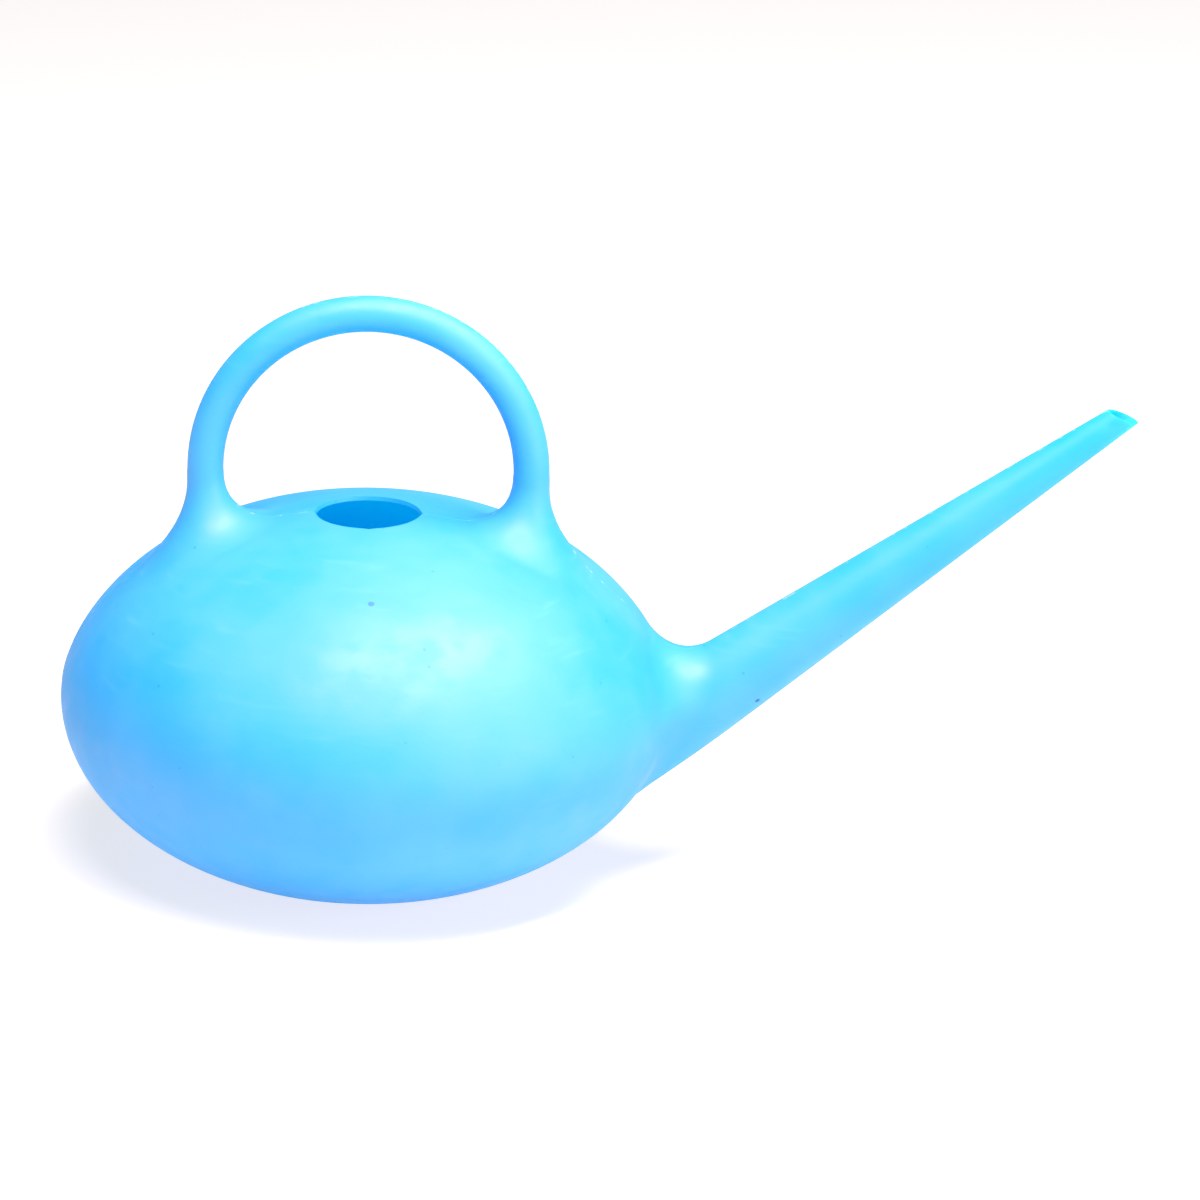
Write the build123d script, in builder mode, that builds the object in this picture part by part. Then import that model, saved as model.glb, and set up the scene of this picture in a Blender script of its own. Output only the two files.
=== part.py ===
from build123d import *
import os
from math import cos, radians, sin, sqrt, tan

os.makedirs("parts", exist_ok=True)

# Watering can: a hollow thin-walled plastic moulding in three pieces that meet edge to edge.
# The reservoir is a flattened sphere; the hoop handle's legs each carry a round patch of the
# crown; the spout carries the round patch of belly at its root.  The hollows open into each other.
# Millimetres.  Origin at the centre of the flat base, +X towards the spout, +Z up.

# ---- driving dimensions ---------------------------------------------------------------------
body_diameter = 220.0        # widest girth of the reservoir
body_half_height = 69.6      # polar half-height of the flattened sphere
equator_height = 61.5        # the girth's height above the flat base
wall = 1.5                   # wall of the whole moulding
base_edge_radius = 5.0       # rounding between the flat base and the belly

fill_hole_diameter = 37.4    # plain round hole in the crown

hoop_radius = 58.2           # centre line of the handle's half circle
hoop_height = 145.7          # height of the half circle's centre
grip_diameter = 13.0         # round section of the hoop

leg_outer_curve = 41.0       # radius of the legs' outer, front and back flare
leg_outer_turn = 24.0        # height over which that flare turns, straight below it
leg_inner_curve = 25.0       # radius of the legs' flare towards the fill hole
leg_inner_turn = 20.0
leg_section_drops = (0.0, 6.0, 12.0, 18.0, 24.0, 32.0, 46.0)  # below the hoop's centre

spout_angle = 36.2           # rise of the spout's centre line
spout_datum_x = 100.0        # a point on that centre line, just inside the belly
spout_datum_z = 48.0
spout_datum_radius = 17.3    # outside radius, square to the centre line, at that point
spout_taper = 0.0587         # loss of radius for each millimetre along the centre line
spout_length = 208.6         # from the datum to the tip
mouth_lean = 21.0            # lean of the mouth's plane towards +X

saddle_curve = 16.0          # radius of the flare between the spout and the belly
saddle_low_x = 114.8         # lowest point of that flare along the spout's back
saddle_side_start = 121.0    # where the spout's sides begin to flare
saddle_turn = 14.0           # length over which the sides and the back turn into the belly
heel_start = 102.0           # where the spout's underside begins to tuck into the belly
heel_rate = 0.06
spout_places = (124.0, 121.0, 118.0, 115.5, 113.0, 111.0, 109.0, 107.5, 97.0, 90.0)  # sections along X

leg_patch_x = 60.0           # centre of the round patch of crown that each leg carries
leg_patch_radius = 28.0
spout_patch_z = 53.5         # centre of the round patch of belly that the spout carries
spout_patch_radius = 36.5
spout_patch_start = 70.0     # a place inside the hollow where that patch's cutter begins

overrun = 20.0               # how far cutters and open ends run past what they meet

# ---- worked-out dimensions ------------------------------------------------------------------
body_radius = body_diameter / 2
grip_radius = grip_diameter / 2
crown_height = equator_height + body_half_height
rise = radians(spout_angle)
spout_tip = Vector(spout_datum_x + spout_length * cos(rise), 0, spout_datum_z + spout_length * sin(rise))
mouth_plane = Plane(origin=spout_tip, x_dir=(0, 1, 0), z_dir=Vector(0, 0, 1).rotate(Axis.Y, mouth_lean))
back_slope = tan(rise - spout_taper)       # the cone's upper line
underside_slope = tan(rise + spout_taper)  # the cone's lower line


# ---- the spout's side view, as heights over X -------------------------------------------------
def back_line(x):
    """The straight upper line of the cone."""
    x0 = spout_datum_x - spout_datum_radius * sin(rise)
    z0 = spout_datum_z + spout_datum_radius * cos(rise)
    return z0 + (x - x0) * back_slope


def spout_top(x):
    """The upper line with the saddle's arc, which touches it and curls up against the belly."""
    arc_z = back_line(saddle_low_x) + saddle_curve * sqrt(1 + back_slope**2)
    if x > saddle_low_x + saddle_curve * sin(rise - spout_taper):
        return back_line(x)
    reach = max(x - saddle_low_x, -saddle_turn)
    return arc_z - sqrt(saddle_curve**2 - reach**2)


def spout_bottom(x):
    """The lower line, which tucks up into the belly at the heel."""
    x0 = spout_datum_x + spout_datum_radius * sin(rise)
    z0 = spout_datum_z - spout_datum_radius * cos(rise)
    return z0 + (x - x0) * underside_slope + heel_rate * max(0, heel_start - x) ** 2


def spout_half_width(x):
    """Half the spout's width, with the arc that flares it against the belly."""
    reach = min(max(0, saddle_side_start - x), saddle_turn)
    cone_radius = spout_datum_radius - spout_taper * (x - spout_datum_x) / cos(rise)
    return cone_radius + saddle_curve - sqrt(saddle_curve**2 - reach**2)


def leg_growth(drop, radius, turn):
    """How far a leg's side has moved out below the hoop: an arc that ends in its own tangent."""
    arc_drop = min(drop, turn)
    slope = turn / sqrt(radius**2 - turn**2)
    return radius - sqrt(radius**2 - arc_drop**2) + slope * (drop - arc_drop)


# ---- closed forms, shrunk by inset: 0 gives the outside, wall gives the cavity ---------------
def belly(inset):
    with BuildPart() as form:
        with BuildSketch(Plane.YZ):
            with Locations((0, equator_height)):
                Ellipse(body_radius - inset, body_half_height - inset)
            with Locations((0, inset)):
                Rectangle(body_diameter, body_diameter, align=(Align.MIN, Align.MIN), mode=Mode.INTERSECT)
        revolve(axis=Axis.Z)
        fillet(form.faces().sort_by(Axis.Z)[0].edges(), base_edge_radius)
    return form.part


def leg(inset):
    """The flared leg on the +X side."""
    with BuildPart() as form:
        for drop in leg_section_drops:
            outward = leg_growth(drop, leg_outer_curve, leg_outer_turn)
            inward = leg_growth(drop, leg_inner_curve, leg_inner_turn)
            with BuildSketch(Plane.XY.offset(hoop_height - drop)):
                with Locations((hoop_radius + (outward - inward) / 2, 0)):
                    Ellipse(grip_radius + (outward + inward) / 2 - inset, grip_radius + outward - inset)
        loft()
    return form.part


def hoop(inset):
    with BuildPart() as form:
        with BuildSketch(Plane.XY.offset(hoop_height)):
            with Locations((hoop_radius, 0)):
                Circle(grip_radius - inset)
        revolve(axis=Axis((0, 0, hoop_height), (0, -1, 0)), revolution_arc=180)
    return form.part


def spout_tube(inset):
    """The spout through upright ellipses, from past its tip to inside the belly."""
    with BuildPart() as form:
        for x in (spout_tip.X + overrun,) + spout_places:
            half_height = (spout_top(x) - spout_bottom(x)) / 2
            with BuildSketch(Plane.YZ.offset(x)):
                with Locations((0, (spout_top(x) + spout_bottom(x)) / 2)):
                    Ellipse(spout_half_width(x) - inset, half_height - inset / cos(rise))
        loft(ruled=True)
    return form.part


def can_form(inset):
    """The whole can as one closed form."""
    with BuildPart() as form:
        add(belly(inset))
        add(leg(inset))
        add(leg(inset).mirror(Plane.YZ))
        add(hoop(inset))
        add(spout_tube(inset))
    return form.part


def moulding():
    """The whole moulded wall: outside less cavity, cut open at the mouth and the fill hole."""
    with BuildPart() as form:
        add(can_form(0))
        add(can_form(wall), mode=Mode.SUBTRACT)
        split(bisect_by=mouth_plane, keep=Keep.BOTTOM)
        with BuildSketch(Plane.XY.offset(equator_height)):
            Circle(fill_hole_diameter / 2)
        extrude(amount=body_half_height + overrun, mode=Mode.SUBTRACT)
    return form.part


# ---- the space that each piece takes up ------------------------------------------------------
def handle_zone():
    """A post over each leg's patch, joined over the crown."""
    with BuildPart() as zone:
        with BuildSketch(Plane.XY.offset(equator_height)):
            with Locations((-leg_patch_x, 0), (leg_patch_x, 0)):
                Circle(leg_patch_radius)
        extrude(amount=body_half_height + overrun)
        with BuildSketch(Plane.XY.offset(crown_height + wall)):
            Rectangle(2 * (leg_patch_x + leg_patch_radius), 2 * leg_patch_radius)
        extrude(amount=body_diameter)
    return zone.part


def spout_zone():
    """A drum over the spout's patch, and everything clear of the belly on that side."""
    with BuildPart() as zone:
        with BuildSketch(Plane.YZ.offset(spout_patch_start)):
            with Locations((0, spout_patch_z)):
                Circle(spout_patch_radius)
        extrude(amount=spout_places[0] - spout_patch_start)
        with BuildSketch(Plane.YZ.offset(spout_places[1])):
            Rectangle(body_diameter, 2 * body_diameter)
        extrude(amount=2 * spout_length)
    return zone.part


whole = moulding()

with BuildPart() as reservoir:
    add(whole)
    add(handle_zone(), mode=Mode.SUBTRACT)
    add(spout_zone(), mode=Mode.SUBTRACT)

with BuildPart() as handle:
    add(whole)
    add(handle_zone(), mode=Mode.INTERSECT)

with BuildPart() as spout:
    add(whole)
    add(spout_zone(), mode=Mode.INTERSECT)

reservoir.part.label = "reservoir"
handle.part.label = "handle"
spout.part.label = "spout"

export_step(reservoir.part, "parts/reservoir.step")
export_step(handle.part, "parts/handle.step")
export_step(spout.part, "parts/spout.step")
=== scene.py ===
"""Looks of the watering can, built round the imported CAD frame.

The visible skin is one smooth blow-moulded surface, given by a distance function.  It is meshed in
patches that share their edge loops, and each CAD node is replaced by a closed, thin-walled piece.
Lengths inside the mesh code are millimetres; they become metres when an object is made.
"""
from math import cos, pi, radians, sin

import bpy
import numpy as np
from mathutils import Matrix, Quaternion, Vector
from mathutils.geometry import delaunay_2d_cdt


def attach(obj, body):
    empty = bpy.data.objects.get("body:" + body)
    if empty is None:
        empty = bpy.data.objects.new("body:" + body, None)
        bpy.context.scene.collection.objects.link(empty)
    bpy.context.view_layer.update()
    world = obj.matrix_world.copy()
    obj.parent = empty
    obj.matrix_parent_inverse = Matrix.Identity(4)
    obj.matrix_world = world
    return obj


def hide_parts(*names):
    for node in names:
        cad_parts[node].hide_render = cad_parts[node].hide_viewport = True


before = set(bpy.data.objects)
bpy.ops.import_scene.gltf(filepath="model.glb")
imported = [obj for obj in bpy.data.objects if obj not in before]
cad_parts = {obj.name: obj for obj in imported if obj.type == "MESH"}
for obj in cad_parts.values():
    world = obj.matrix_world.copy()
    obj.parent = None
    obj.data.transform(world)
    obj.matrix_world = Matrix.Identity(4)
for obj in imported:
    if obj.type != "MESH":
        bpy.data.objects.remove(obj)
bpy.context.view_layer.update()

# ---- dimensions, millimetres ------------------------------------------------------------------
MM = 0.001
BODY_RADIUS = 110.0
BODY_HALF_HEIGHT = 69.6
EQUATOR = 61.5
SHOULDER_EASE = 1.1       # the shoulder lies this much inside the spheroid, half way up to the crown
SHOULDER_HEIGHT = 62.0
HOLE_RADIUS = 18.7
HOOP_RADIUS = 58.2
HOOP_HEIGHT = 145.7
GRIP_RADIUS = 6.5
SPOUT_ANGLE = radians(36.2)
SPOUT_DATUM = np.array([100.0, 0.0, 48.0])
SPOUT_RADIUS = 17.3
SPOUT_TAPER = 0.0587
SPOUT_LENGTH = 208.6
MOUTH_LEAN = radians(21.0)
WALL = 1.5
MOUTH_WALL = 1.0

LEG_BLEND = 20.5          # how widely the legs flow into the crown
SPOUT_BLEND_BACK = 18.5   # how widely the spout's back and sides flow into the belly
SPOUT_BLEND_HEEL = 4.0    # and its underside
ROOT_START = 30.0         # where the spout's centre line begins to curve up towards its buried end
ROOT_RISE = 0.0008
HEEL_START = -10.0        # where the buried end of the spout begins to draw in
HEEL_RATE = 0.012
BASE_ROUNDING = 1.5
DISH_RADIUS = 44.5        # the base is pushed up inside the ring that it stands on
DISH_EDGE = 9.0
DISH_DEPTH = 1.2
PINCH_HEIGHT = 0.5        # where the mould pinched the bottom shut
PINCH_WIDTH = 0.6
SEAM_HEIGHT = 0.12        # mould parting line, all round the XZ plane
SEAM_WIDTH = 0.4
SEAM_FADE = 4.0           # it runs out just above the base
SEAM_LINES = (-0.9, -0.4, 0.0, 0.4, 0.9)  # where mesh lines follow it

LEG_PATCH_X = 60.0        # round patches of skin that go with the handle and the spout
LEG_PATCH_RADIUS = 28.0
SPOUT_PATCH_Z = 53.5
SPOUT_PATCH_RADIUS = 36.5

SPOUT_AXIS = np.array([cos(SPOUT_ANGLE), 0.0, sin(SPOUT_ANGLE)])
SPOUT_UP = np.array([-sin(SPOUT_ANGLE), 0.0, cos(SPOUT_ANGLE)])
MOUTH_NORMAL = np.array([sin(MOUTH_LEAN), 0.0, cos(MOUTH_LEAN)])
SPOUT_TIP = SPOUT_DATUM + SPOUT_LENGTH * SPOUT_AXIS
BODY_CENTRE = np.array([0.0, 0.0, EQUATOR])


# ---- the skin as a distance function ----------------------------------------------------------
def round_union(a, b, size):
    """Two distances joined with a smooth hollow of about that size between them."""
    reach = np.hypot(np.maximum(size - a, 0), np.maximum(size - b, 0))
    return np.maximum(size, np.minimum(a, b)) - reach


def round_cut(a, b, size):
    """What is inside both, with a rounded edge."""
    reach = np.hypot(np.maximum(a + size, 0), np.maximum(b + size, 0))
    return np.minimum(-size, np.maximum(a, b)) + reach


def belly_distance(p):
    radii = np.array([BODY_RADIUS, BODY_RADIUS, BODY_HALF_HEIGHT])
    q = p - BODY_CENTRE
    k0 = np.linalg.norm(q / radii, axis=-1)
    k1 = np.linalg.norm(q / radii**2, axis=-1)
    up = np.clip(q[..., 2] / SHOULDER_HEIGHT, 0.0, 1.0)
    return k0 * (k0 - 1.0) / np.maximum(k1, 1e-9) + SHOULDER_EASE * np.sin(pi * up) ** 2


def hoop_distance(p):
    x, y, z = p[..., 0], p[..., 1], p[..., 2]
    above = np.hypot(x, z - HOOP_HEIGHT) - HOOP_RADIUS
    beside = np.abs(x) - HOOP_RADIUS
    off_line = np.where(z > HOOP_HEIGHT, above, beside)
    below_end = np.minimum(0.0, z - (EQUATOR + 25.0))
    return np.sqrt(off_line**2 + y**2 + below_end**2) - GRIP_RADIUS


def spout_distance(p):
    q = p - SPOUT_DATUM
    along = q @ SPOUT_AXIS
    up = q @ SPOUT_UP - ROOT_RISE * np.minimum(0.0, along - ROOT_START) ** 2
    heel = np.minimum(0.0, along - HEEL_START)
    radius = SPOUT_RADIUS - SPOUT_TAPER * along - HEEL_RATE * heel**2
    slope = -SPOUT_TAPER - 2 * HEEL_RATE * heel
    return (np.hypot(up, q[..., 1]) - radius) / np.sqrt(1 + slope**2), up


def base_height(p):
    """The base stands on a ring; inside that it is pushed up a little, with the pinched seam across it."""
    share = np.clip((DISH_RADIUS - np.hypot(p[..., 0], p[..., 1])) / DISH_EDGE, 0.0, 1.0)
    share = share * share * (3 - 2 * share)
    return share * (DISH_DEPTH - PINCH_HEIGHT * np.exp(-((p[..., 1] / PINCH_WIDTH) ** 2)))


def plain_distance(p):
    """The skin without its parting line."""
    belly = round_cut(belly_distance(p), base_height(p) - p[..., 2], BASE_ROUNDING)
    spout, up = spout_distance(p)
    share = np.clip((up + 15.0) / 25.0, 0.0, 1.0)
    share = share * share * (3 - 2 * share)
    blend = SPOUT_BLEND_HEEL + (SPOUT_BLEND_BACK - SPOUT_BLEND_HEEL) * share
    skin = round_union(belly, spout, blend)
    return round_union(skin, hoop_distance(p), LEG_BLEND)


def skin_distance(p):
    seam = SEAM_HEIGHT * np.clip(p[..., 2] / SEAM_FADE, 0.0, 1.0)
    return plain_distance(p) - seam * np.exp(-((p[..., 1] / SEAM_WIDTH) ** 2))


def slope_of(distance, p):
    """The distance's gradient, by central differences."""
    step = 0.02
    slope = np.empty_like(p)
    for axis in range(3):
        shift = np.zeros(3)
        shift[axis] = step
        slope[..., axis] = (distance(p + shift) - distance(p - shift)) / (2 * step)
    return slope


def normal_of(distance, p):
    slope = slope_of(distance, p)
    return slope / np.linalg.norm(slope, axis=-1, keepdims=True)


def settle(p, hold=(1.0, 1.0, 1.0), rounds=12):
    """Moves points onto the skin; hold is 0 along an axis that they keep."""
    p = p.copy()
    hold = np.asarray(hold)
    for _ in range(rounds):
        slope = slope_of(skin_distance, p) * hold
        size = np.maximum((slope**2).sum(-1, keepdims=True), 0.05)
        p -= np.clip(skin_distance(p)[..., None] * slope / size, -6.0, 6.0)
    return p


# ---- mesh patches ------------------------------------------------------------------------------
def seam_angles(radius, steps):
    """Angles round a ring of that radius, evenly spaced but for the lines beside the parting line."""
    offsets = np.arcsin(np.clip(np.array(SEAM_LINES) / radius, -0.5, 0.5))
    edge = offsets[-1]
    side = np.linspace(edge, pi - edge, steps + 1)[1:-1]
    return np.concatenate([offsets[2:], side, pi + offsets, pi + side, 2 * pi + offsets[:2]])


def seam_rows(steps):
    """For each angle of such a ring: whether it follows the parting line, and the Y that it keeps."""
    side = [None] * (steps - 1)
    lines = list(SEAM_LINES)
    return lines[2:] + side + [-y for y in lines] + side + lines[:2]


def settle_rows(grid, rows, rounds=12):
    """Settles a grid [ring, column], where the columns beside the parting line keep their Y."""
    kept = np.array([y is not None for y in rows])
    grid = grid.copy()
    grid[:, ~kept] = settle(grid[:, ~kept], rounds=rounds)
    lines = grid[:, kept]
    lines[..., 1] = np.array([y for y in rows if y is not None])
    grid[:, kept] = settle(lines, (1.0, 0.0, 1.0), rounds)
    return grid


def even_out(grid, share):
    """Slides the points of each column so that they lie at the given shares of its length."""
    out = grid.copy()
    for column in range(grid.shape[1]):
        line = grid[:, column]
        length = np.concatenate([[0], np.cumsum(np.linalg.norm(np.diff(line, axis=0), axis=1))])
        for axis in range(3):
            out[:, column, axis] = np.interp(share * length[-1], length, line[:, axis])
    return out


def patch_between(first, last, rings, rows):
    """A patch of skin between two loops that lie on it."""
    share = np.linspace(0, 1, rings + 1)
    grid = first + share[:, None, None] * (last - first)
    for _ in range(4):
        grid = even_out(settle_rows(grid, rows), share)
    grid = settle_rows(grid, rows)
    grid[0], grid[-1] = first, last
    return grid


def grid_faces(rings, columns):
    """Quads of a grid that closes round its columns."""
    return [
        (r * columns + c, r * columns + (c + 1) % columns,
         (r + 1) * columns + (c + 1) % columns, (r + 1) * columns + c)
        for r in range(rings - 1) for c in range(columns)
    ]


LEG_STEPS = 24
SPOUT_STEPS = 32
BODY_STEPS = 92
BASE_RINGS = [56.0, 53.5, 51.5, 49.5, 48.0, 46.0, 44.0, 42.0, 40.0, 38.0, 33.0, 26.0, 18.0, 10.0, 4.0]
STRAIGHT_UP = (0.0, 0.0, 1.0)
TUBE_START = 45.0          # where the spout's saddle gives way to the straight tube


def leg_top(side):
    angle = seam_angles(GRIP_RADIUS, LEG_STEPS)
    x = side * (HOOP_RADIUS + GRIP_RADIUS * np.cos(angle))
    return np.stack([x, GRIP_RADIUS * np.sin(angle), np.full_like(x, HOOP_HEIGHT)], -1)


def leg_loop(side):
    angle = seam_angles(LEG_PATCH_RADIUS, LEG_STEPS)
    x = side * (LEG_PATCH_X + LEG_PATCH_RADIUS * np.cos(angle))
    z = np.full_like(x, EQUATOR + BODY_HALF_HEIGHT)
    start = np.stack([x, LEG_PATCH_RADIUS * np.sin(angle), z], -1)
    return settle(start, STRAIGHT_UP, 30)


def spout_loop():
    angle = seam_angles(SPOUT_PATCH_RADIUS, SPOUT_STEPS)
    y = SPOUT_PATCH_RADIUS * np.sin(angle)
    z = SPOUT_PATCH_Z + SPOUT_PATCH_RADIUS * np.cos(angle)
    return settle(np.stack([np.full_like(y, BODY_RADIUS), y, z], -1), (1, 0, 0), 30)


def mouth_along(cosine):
    """Where the line of the cone at that angle meets the plane of the mouth."""
    lean = SPOUT_AXIS @ MOUTH_NORMAL
    tilt = cosine * (SPOUT_UP @ MOUTH_NORMAL)
    return ((SPOUT_TIP - SPOUT_DATUM) @ MOUTH_NORMAL - SPOUT_RADIUS * tilt) / (lean - SPOUT_TAPER * tilt)


def spout_ring(share):
    """A ring of the straight tube: share is 0 where the saddle ends and 1 at the mouth."""
    middle = TUBE_START + share * (SPOUT_LENGTH - TUBE_START)
    angle = seam_angles(SPOUT_RADIUS - SPOUT_TAPER * middle, SPOUT_STEPS)
    along = TUBE_START + share * (mouth_along(np.cos(angle)) - TUBE_START)
    radius = (SPOUT_RADIUS - SPOUT_TAPER * along)[:, None]
    up = np.cos(angle)[:, None] * SPOUT_UP
    across = np.sin(angle)[:, None] * np.array([0.0, 1.0, 0.0])
    return SPOUT_DATUM + along[:, None] * SPOUT_AXIS + radius * (up + across)


def hoop_grid(turns):
    """The half circle of tube, as rings from the rear leg's top to the front leg's."""
    angle = seam_angles(GRIP_RADIUS, LEG_STEPS)
    turn = np.linspace(pi, 0, turns + 1)[:, None]
    reach = HOOP_RADIUS + GRIP_RADIUS * np.cos(angle)
    x, z = reach * np.cos(turn), HOOP_HEIGHT + reach * np.sin(turn)
    return np.stack([x, np.broadcast_to(GRIP_RADIUS * np.sin(angle), x.shape), z], -1)


def hole_edge(angle):
    """The knife-cut edge of the fill hole: a circle with small corners where the cut began and ended."""
    def corner(at, size, width):
        off = (angle - at + pi) % (2 * pi) - pi
        return size * np.exp(-np.abs(off) / width)
    wander = 0.10 * np.sin(3 * angle + 0.7) + 0.07 * np.sin(5 * angle + 2.1)
    ends = corner(0.0, 0.9, 0.09) + corner(pi, 0.9, 0.09)
    return HOLE_RADIUS + wander + ends + corner(-1.52, 0.8, 0.07)


def body_grid():
    """The reservoir's skin as rings from the fill hole's edge down to near the middle of the base."""
    polar = np.linspace(np.arcsin(HOLE_RADIUS / BODY_RADIUS), radians(147), 67)
    radii = np.concatenate([BODY_RADIUS * np.sin(polar), BASE_RINGS])
    heights = np.concatenate([EQUATOR + BODY_HALF_HEIGHT * np.cos(polar), np.zeros(len(BASE_RINGS))])
    rings = []
    for row, (radius, height) in enumerate(zip(radii, heights)):
        angle = seam_angles(radius, BODY_STEPS)
        fade = max(0.0, 1 - row / 4)
        reach = radius + fade * (hole_edge(angle) - HOLE_RADIUS)
        level = np.full_like(angle, height)
        rings.append(np.stack([reach * np.cos(angle), reach * np.sin(angle), level], -1))
    start = np.array(rings)
    grid = settle_rows(start, seam_rows(BODY_STEPS))
    base = len(polar)
    grid[0], grid[base:] = settle(start[0], STRAIGHT_UP, 30), settle(start[base:], STRAIGHT_UP, 30)
    return grid


# ---- building meshes -----------------------------------------------------------------------------
class Skin:
    """Points and faces of a piece of the outer skin, welded where its patches meet."""

    def __init__(self):
        self.points, self.faces = [], []

    def add(self, points, faces):
        """Adds a patch whose faces all wind the same way, turned so that they look outward."""
        points = points.reshape(-1, 3)
        corners = points[np.array([face[:3] for face in faces])]
        flat = np.cross(corners[:, 1] - corners[:, 0], corners[:, 2] - corners[:, 0])
        if (flat * normal_of(skin_distance, corners[:, 0])).sum() < 0:
            faces = [face[::-1] for face in faces]
        start = len(self.points)
        self.points += [tuple(p) for p in points]
        self.faces += [tuple(start + i for i in face) for face in faces]

    def add_grid(self, grid):
        self.add(grid, grid_faces(*grid.shape[:2]))

    def welded(self):
        points = np.array(self.points)
        _, first, index = np.unique(np.round(points, 4), axis=0, return_index=True, return_inverse=True)
        index = index.reshape(-1)
        return points[first], [tuple(index[i] for i in face) for face in self.faces]


def open_edges(faces):
    """Directed edges that only one face has."""
    edges = {(f[i - 1], f[i]) for f in faces for i in range(len(f))}
    return [(a, b) for a, b in edges if (b, a) not in edges]


def wall_thickness(points):
    """The moulding's wall, which thins towards the spout's mouth."""
    along = (points - SPOUT_DATUM) @ SPOUT_AXIS
    thin = np.clip(along / SPOUT_LENGTH, 0, 1)
    return WALL + (MOUTH_WALL - WALL) * thin


def piece(name, skin):
    """A closed thin-walled mesh object from a piece of skin, with the skin's own normals."""
    points, faces = skin.welded()
    normals = normal_of(skin_distance, points)
    inner = points - wall_thickness(points)[:, None] * normal_of(plain_distance, points)
    at_mouth = np.abs((points - SPOUT_TIP) @ MOUTH_NORMAL) < 1e-3
    lift = ((SPOUT_TIP - inner) @ MOUTH_NORMAL / (SPOUT_AXIS @ MOUTH_NORMAL))[:, None] * SPOUT_AXIS
    inner = np.where(at_mouth[:, None], inner + lift, inner)
    count = len(points)
    every = [tuple(p) for p in np.concatenate([points, inner]) * MM]
    all_faces = list(faces) + [tuple(i + count for i in f[::-1]) for f in faces]
    corner_normals = [normals[i] for f in faces for i in f]
    corner_normals += [-normals[i] for f in faces for i in f[::-1]]
    for a, b in open_edges(faces):
        quad = (b, a, a + count, b + count)
        ends = np.array([every[i] for i in quad])
        flat = np.cross(ends[2] - ends[0], ends[3] - ends[1])
        all_faces.append(quad)
        corner_normals += [flat / np.linalg.norm(flat)] * 4
    mesh = bpy.data.meshes.new(name)
    mesh.from_pydata(every, [], all_faces)
    mesh.polygons.foreach_set("use_smooth", [True] * len(all_faces))
    mesh.normals_split_custom_set([tuple(n) for n in corner_normals])
    mesh.update()
    thing = bpy.data.objects.new(name, mesh)
    bpy.context.scene.collection.objects.link(thing)
    return thing


def inside_polygon(points, polygon):
    """Which 2-D points lie inside a closed polygon."""
    x, y = points[:, 0, None], points[:, 1, None]
    x0, y0 = polygon[:, 0], polygon[:, 1]
    x1, y1 = np.roll(x0, -1), np.roll(y0, -1)
    crosses = (y0 > y) != (y1 > y)
    at = x0 + (y - y0) * (x1 - x0) / np.where(y1 == y0, 1e-12, y1 - y0)
    return (crosses & (x < at)).sum(1) % 2 == 1


def chain(edges):
    """Directed edges joined into closed loops of point indices."""
    follow = dict(edges)
    loops = []
    while follow:
        start, at = next(iter(follow.items()))
        loop = [start]
        del follow[start]
        while at != start:
            loop.append(at)
            at = follow.pop(at)
        loops.append(loop)
    return loops


def open_body(grid, openings):
    """The reservoir's skin with its openings.  Each is (loop of points, flat axes, centre, radius, side)."""
    points = grid.reshape(-1, 3)
    faces = grid_faces(*grid.shape[:2])

    def within(spots, axes, centre, radius, side):
        flat = np.linalg.norm(spots[..., axes] - centre, axis=-1)
        return (flat < radius) & ((spots - BODY_CENTRE) @ side > 0)

    for _, *opening in openings:
        near = within(points, *opening)
        faces = [f for f in faces if not near[list(f)].any()]
    count = grid.shape[1]
    last = len(points) - count
    middle = settle(points[last:].mean(0, keepdims=True), STRAIGHT_UP, 30)
    points = np.concatenate([points, middle])
    faces += [(last + i, last + (i + 1) % count, last + count) for i in range(count)]
    skin = Skin()
    skin.add(points, faces)
    rims = chain(open_edges(faces))
    for loop, *opening in openings:
        rim = next(r for r in rims if within(points[r].mean(0), *opening))
        both = np.concatenate([points[rim], loop])
        flat = both[:, opening[0]]
        count = len(rim)
        edges = [(i, (i + 1) % count) for i in range(count)]
        edges += [(count + i, count + (i + 1) % len(loop)) for i in range(len(loop))]
        triangles = delaunay_2d_cdt([Vector(p) for p in flat], edges, [], 0, 1e-7)[2]
        middle = np.array([flat[list(t)].mean(0) for t in triangles])
        belt = inside_polygon(middle, flat[:count]) & ~inside_polygon(middle, flat[count:])
        skin.add(both, [t for t, keep in zip(triangles, belt) if keep])
    return skin


# ---- the three pieces ------------------------------------------------------------------------------
leg_rows = seam_rows(LEG_STEPS)
handle_skin = Skin()
for side in (-1, 1):
    handle_skin.add_grid(patch_between(leg_top(side), leg_loop(side), 26, leg_rows))
handle_skin.add_grid(hoop_grid(72))

spout_skin = Skin()
tube = np.array([spout_ring(share) for share in np.linspace(0, 1, 61)])
spout_skin.add_grid(tube)
spout_skin.add_grid(patch_between(tube[0], spout_loop(), 30, seam_rows(SPOUT_STEPS)))

UP, AHEAD = np.array([0.0, 0.0, 1.0]), np.array([1.0, 0.0, 0.0])
openings = [
    (leg_loop(-1), [0, 1], np.array([-LEG_PATCH_X, 0.0]), LEG_PATCH_RADIUS + 2.0, UP),
    (leg_loop(1), [0, 1], np.array([LEG_PATCH_X, 0.0]), LEG_PATCH_RADIUS + 2.0, UP),
    (spout_loop(), [1, 2], np.array([0.0, SPOUT_PATCH_Z]), SPOUT_PATCH_RADIUS + 2.0, AHEAD),
]
body_skin = open_body(body_grid(), openings)

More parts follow.
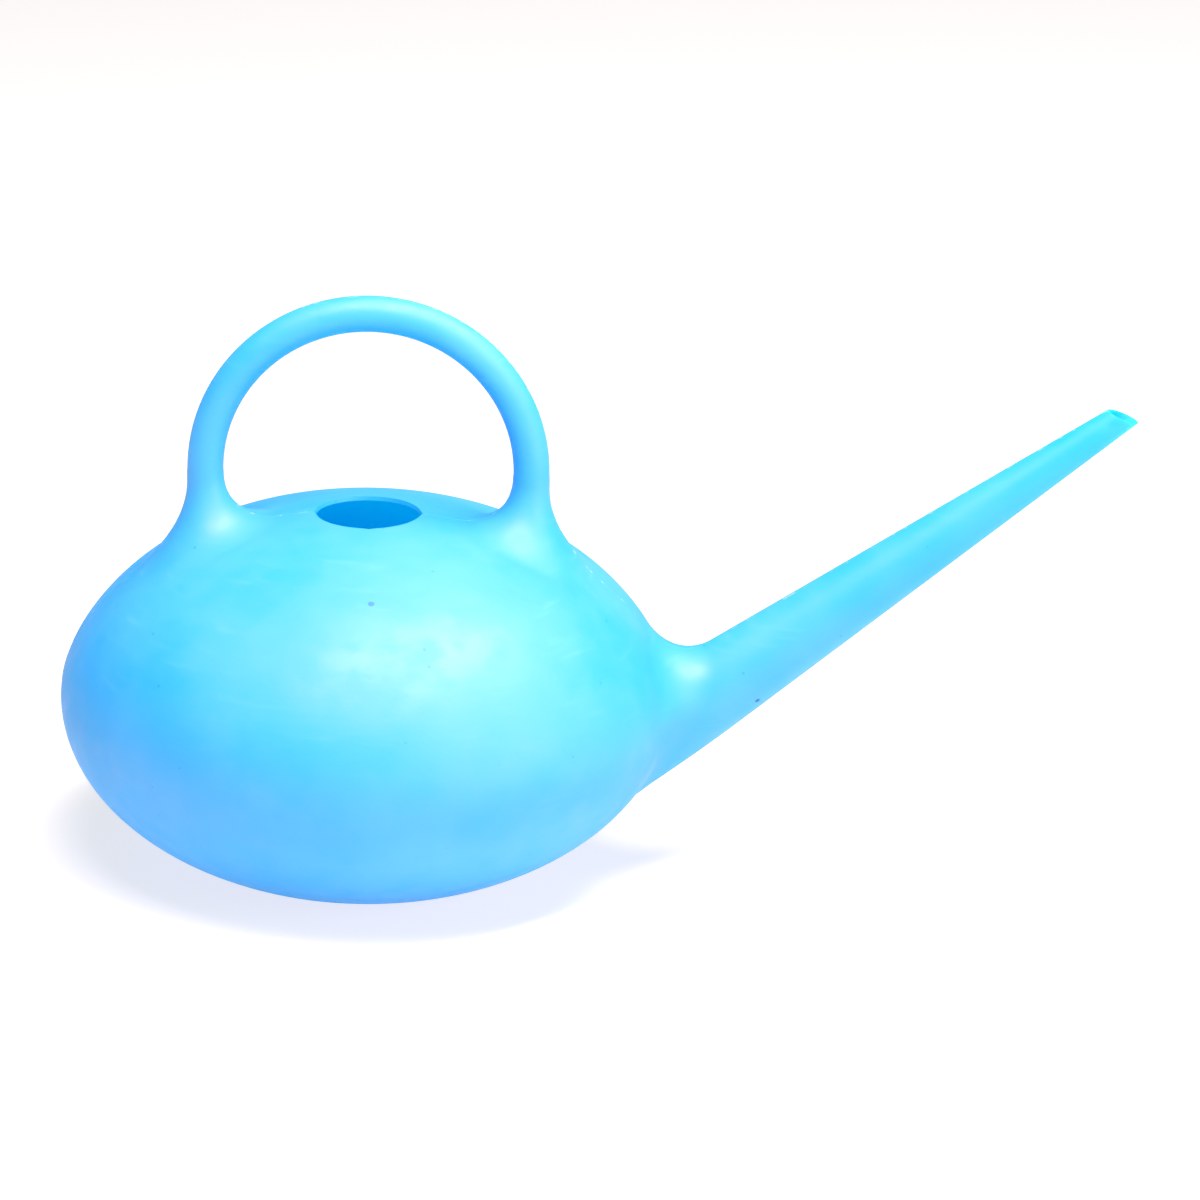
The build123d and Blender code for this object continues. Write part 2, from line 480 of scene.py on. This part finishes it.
pieces = {
    "reservoir": piece("reservoir_skin", body_skin),
    "handle": piece("handle_skin", handle_skin),
    "spout": piece("spout_skin", spout_skin),
}
for node, skin_object in pieces.items():
    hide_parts(node)
    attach(skin_object, "root")


# ---- the plastic -------------------------------------------------------------------------------
SKY = (0.038, 0.37, 1.0, 1.0)
DEEP_SKY_AND_RIM_SHADE = (0.015, 0.34, 0.97, 1.0)     # thin places, and painted shade along the fill hole's cut edge
PALE_SKY = (0.16, 0.60, 1.0, 1.0)       # scuffs
PAINTED_SEAM_GLINT = (0.45, 0.85, 1.0, 1.0)       # painted glints on the parting line's upper part
GRAIN = (0.003, 0.10, 0.42, 1.0)        # dark specks in the plastic
NAVY = (0.0, 0.012, 0.06, 1.0)
THROUGH = (0.01, 0.92, 1.0, 1.0)        # light that has come through the wall
NAVY_SPOT = (0.1407, -0.0108, 0.0654)   # metres; under the spout
NAVY_SPOT_RADIUS = 0.0011
FLECK_SPOT = (0.0036, -0.0651, 0.1174)  # on the shoulder, below the fill hole
FLECK_SPOT_RADIUS = 0.0014
RIM_SHADE_START, RIM_SHADE_END = 0.0190, 0.0196     # how far from the fill hole's axis the painted shade along its edge reaches
THIN_START, THIN_END = 0.12, 0.274      # along X, where the spout's wall lets more and more light through


class Graph:
    """Adds shader nodes to one material, each input given as a number, a colour or a socket."""

    def __init__(self, material):
        self.nodes, self.links = material.node_tree.nodes, material.node_tree.links

    def put(self, socket, value):
        if isinstance(value, bpy.types.NodeSocket):
            self.links.new(value, socket)
        else:
            socket.default_value = value

    def math(self, how, *values):
        node = self.nodes.new("ShaderNodeMath")
        node.operation = how
        for socket, value in zip(node.inputs, values):
            self.put(socket, value)
        return node.outputs[0]

    def ramp(self, value, low, high, at_low=0.0, at_high=1.0):
        """A smooth step from at_low to at_high as value goes from low to high."""
        node = self.nodes.new("ShaderNodeMapRange")
        node.interpolation_type = "SMOOTHSTEP"
        for socket, given in zip(node.inputs, (value, low, high, at_low, at_high)):
            self.put(socket, given)
        return node.outputs[0]

    def noise(self, place, scale, detail=2.0):
        node = self.nodes.new("ShaderNodeTexNoise")
        self.put(node.inputs["Vector"], place)
        self.put(node.inputs["Scale"], scale)
        self.put(node.inputs["Detail"], detail)
        return node.outputs["Fac"]

    def stretched(self, place, turn, scale):
        node = self.nodes.new("ShaderNodeMapping")
        self.put(node.inputs["Vector"], place)
        self.put(node.inputs["Rotation"], turn)
        self.put(node.inputs["Scale"], scale)
        return node.outputs[0]

    def near(self, place, centre, radius):
        """1 within radius of a point and 0 outside, in metres."""
        node = self.nodes.new("ShaderNodeVectorMath")
        node.operation = "DISTANCE"
        self.put(node.inputs[0], place)
        self.put(node.inputs[1], centre)
        return self.ramp(node.outputs["Value"], radius * 0.7, radius, 1.0, 0.0)

    def blend(self, amount, first, second):
        node = self.nodes.new("ShaderNodeMix")
        node.data_type = "RGBA"
        self.put(node.inputs["Factor"], amount)
        self.put(node.inputs[6], first)
        self.put(node.inputs[7], second)
        return node.outputs[2]


def plastic(name):
    """Sky-blue satin polyethylene, thin enough to let some light through."""
    material = bpy.data.materials.new(name)
    material.use_nodes = True
    graph = Graph(material)
    shader = graph.nodes["Principled BSDF"]
    place = graph.nodes.new("ShaderNodeTexCoord").outputs["Object"]
    split = graph.nodes.new("ShaderNodeSeparateXYZ")
    graph.put(split.inputs[0], place)
    x, y, z = split.outputs
    across = graph.math("ABSOLUTE", y)

    # thick and thin places of the moulding, cloudy and a few centimetres wide
    cloud = graph.noise(place, 26.0, 3.0)
    colour = graph.blend(graph.ramp(cloud, 0.35, 0.65), DEEP_SKY_AND_RIM_SHADE, SKY)
    # slanted scuffs and draw lines
    streak = graph.noise(graph.stretched(place, (0.0, 0.5, 0.3), (40.0, 40.0, 420.0)), 1.0, 4.0)
    colour = graph.blend(graph.ramp(streak, 0.58, 0.75, 0.0, 0.10), colour, PALE_SKY)
    # the parting line runs round the can in the XZ plane; painted glints lie along it on the upper part of
    # the can
    seam = graph.ramp(across, 0.0002, 0.0009, 1.0, 0.0)
    fleck = graph.ramp(graph.noise(place, 330.0, 2.0), 0.56, 0.66)
    on_top = graph.ramp(z, 0.075, 0.10)
    seam_glint = graph.math("MULTIPLY", graph.math("MULTIPLY", seam, fleck), on_top)
    colour = graph.blend(graph.math("MULTIPLY", seam_glint, 0.6), colour, PAINTED_SEAM_GLINT)
    # painted shade: a thin darker ring along the fill hole's cut edge
    square = graph.math("ADD", graph.math("MULTIPLY", x, x), graph.math("MULTIPLY", y, y))
    axis_away = graph.math("SQRT", square)
    near_axis = graph.ramp(axis_away, RIM_SHADE_START, RIM_SHADE_END, 1.0, 0.0)
    rim_shade = graph.math("MULTIPLY", near_axis, graph.ramp(z, 0.122, 0.124))
    colour = graph.blend(graph.math("MULTIPLY", rim_shade, 0.55), colour, DEEP_SKY_AND_RIM_SHADE)
    # specks in the plastic: cells with a small dark grain at the centre
    grains = graph.nodes.new("ShaderNodeTexVoronoi")
    graph.put(grains.inputs["Vector"], place)
    graph.put(grains.inputs["Scale"], 115.0)
    grain = graph.ramp(grains.outputs["Distance"], 0.04, 0.075, 1.0, 0.0)
    chosen = graph.nodes.new("ShaderNodeSeparateColor")
    graph.put(chosen.inputs[0], grains.outputs["Color"])
    grain = graph.math("MULTIPLY", grain, graph.ramp(chosen.outputs[0], 0.45, 0.55))
    colour = graph.blend(graph.math("MULTIPLY", grain, 0.7), colour, GRAIN)
    # the marks that stand out: a navy grain under the spout and a blue fleck on the shoulder
    colour = graph.blend(graph.near(place, NAVY_SPOT, NAVY_SPOT_RADIUS), colour, NAVY)
    colour = graph.blend(graph.near(place, FLECK_SPOT, FLECK_SPOT_RADIUS), colour, GRAIN)
    graph.put(shader.inputs["Base Color"], colour)

    # satin surface: rubbed and dull in patches, with a fine orange peel
    peel = graph.noise(place, 700.0, 2.0)
    rubbed = graph.ramp(graph.noise(place, 90.0, 4.0), 0.35, 0.65, 0.52, 0.62)
    rough = graph.math("ADD", rubbed, graph.ramp(streak, 0.55, 0.75, 0.0, 0.08))
    graph.put(shader.inputs["Roughness"], rough)
    shader.inputs["Specular IOR Level"].default_value = 0.8
    height = graph.math("ADD", graph.math("MULTIPLY", peel, 0.05), graph.math("MULTIPLY", streak, 0.08))
    height = graph.math("ADD", height, graph.math("MULTIPLY", seam, 0.10))
    height = graph.math("ADD", height, graph.math("MULTIPLY", cloud, 0.12))
    bump = graph.nodes.new("ShaderNodeBump")
    graph.put(bump.inputs["Height"], height)
    graph.put(bump.inputs["Distance"], 0.001)
    graph.put(bump.inputs["Strength"], 0.7)
    graph.put(shader.inputs["Normal"], bump.outputs[0])

    # light comes through the wall, most of all where it is drawn thin near the spout's tip
    through = graph.nodes.new("ShaderNodeBsdfTranslucent")
    graph.put(through.inputs["Color"], THROUGH)
    mix = graph.nodes.new("ShaderNodeMixShader")
    graph.put(mix.inputs["Fac"], graph.ramp(x, THIN_START, THIN_END, 0.33, 0.6))
    graph.links.new(shader.outputs["BSDF"], mix.inputs[1])
    graph.links.new(through.outputs["BSDF"], mix.inputs[2])
    graph.links.new(mix.outputs["Shader"], graph.nodes["Material Output"].inputs["Surface"])
    return material


for name, thing in pieces.items():
    thing.data.materials.append(plastic(name + "_plastic"))


# ---- floor, light and camera ---------------------------------------------------------------------
CAMERA_LENS, CAMERA_SENSOR = 208.95, 36.0
CAMERA_TARGET = (83.49, 0.0, 98.65)     # millimetres
CAMERA_TILT = radians(18.58)
CAMERA_ROLL = radians(1.11)
CAMERA_DISTANCE = 2.5                   # metres, like the rest of the studio
FLOOR_HALF = 4.0
FLOOR_GREY = (0.45, 0.45, 0.45, 1.0)
FLOOR_GLOW = 0.8                        # the paper has a weak glow of its own, which keeps it near white
ROOM_COLOUR, ROOM_STRENGTH = (0.6, 0.85, 1.0, 1.0), 0.12
CURVE_TOP = 1.3                         # the scene brightness that the tone curve takes to white
SHOULDER = ((0.5, 0.5), (0.8, 0.73), (1.0, 0.83), (1.15, 0.91))  # brightness, and what it becomes


def camera():
    """A long lens, a little above the can and rolled a little."""
    data = bpy.data.cameras.new("camera")
    data.lens = CAMERA_LENS
    data.sensor_width = CAMERA_SENSOR
    data.clip_end = 50.0
    thing = bpy.data.objects.new("camera", data)
    bpy.context.scene.collection.objects.link(thing)
    target = Vector(CAMERA_TARGET) * MM
    back = Vector((0.0, -cos(CAMERA_TILT), sin(CAMERA_TILT)))
    thing.location = target + back * CAMERA_DISTANCE
    roll = Quaternion(back, CAMERA_ROLL)
    thing.rotation_euler = (roll @ back.to_track_quat("Z", "Y")).to_euler()
    bpy.context.scene.camera = thing


def softbox(name, place, aim, size, power, colour=(1.0, 1.0, 1.0)):
    data = bpy.data.lights.new(name, "AREA")
    data.shape = "RECTANGLE"
    data.size, data.size_y = size
    data.energy = power
    data.color = colour
    thing = bpy.data.objects.new(name, data)
    thing.location = place
    thing.rotation_euler = (Vector(place) - Vector(aim)).to_track_quat("Z", "Y").to_euler()
    bpy.context.scene.collection.objects.link(thing)


def studio():
    mesh = bpy.data.meshes.new("floor")
    half = FLOOR_HALF
    corners = [(-half, -half, 0), (half, -half, 0), (half, half, 0), (-half, half, 0)]
    mesh.from_pydata(corners, [], [(0, 1, 2, 3)])
    floor = bpy.data.objects.new("floor", mesh)
    bpy.context.scene.collection.objects.link(floor)
    paper = bpy.data.materials.new("paper")
    paper.use_nodes = True
    shader = paper.node_tree.nodes["Principled BSDF"]
    shader.inputs["Base Color"].default_value = FLOOR_GREY
    shader.inputs["Roughness"].default_value = 1.0
    shader.inputs["Specular IOR Level"].default_value = 0.0
    shader.inputs["Emission Color"].default_value = (1.0, 1.0, 1.0, 1.0)
    shader.inputs["Emission Strength"].default_value = FLOOR_GLOW
    mesh.materials.append(paper)
    world = bpy.data.worlds.new("studio")
    world.use_nodes = True
    room = world.node_tree.nodes["Background"]
    room.inputs["Color"].default_value = ROOM_COLOUR
    room.inputs["Strength"].default_value = ROOM_STRENGTH
    bpy.context.scene.world = world
    softbox("key", (0.26, -0.25, 1.25), (0.03, 0.0, 0.1), (1.4, 0.45), 76.0, (1.0, 0.84, 0.8))
    softbox("fill", (1.5, -1.1, 0.6), (0.05, 0.0, 0.08), (1.0, 1.0), 36.0, (1.0, 0.80, 0.75))


def tone():
    """A soft shoulder, as film and cameras have, in place of hard clipping."""
    view = bpy.context.scene.view_settings
    view.view_transform = "Standard"
    view.use_curve_mapping = True
    mapping = view.curve_mapping
    mapping.white_level = (CURVE_TOP, CURVE_TOP, CURVE_TOP)
    curve = mapping.curves[3]
    for given, wanted in SHOULDER:
        curve.points.new(given / CURVE_TOP, wanted)
    mapping.update()


camera()
studio()
tone()
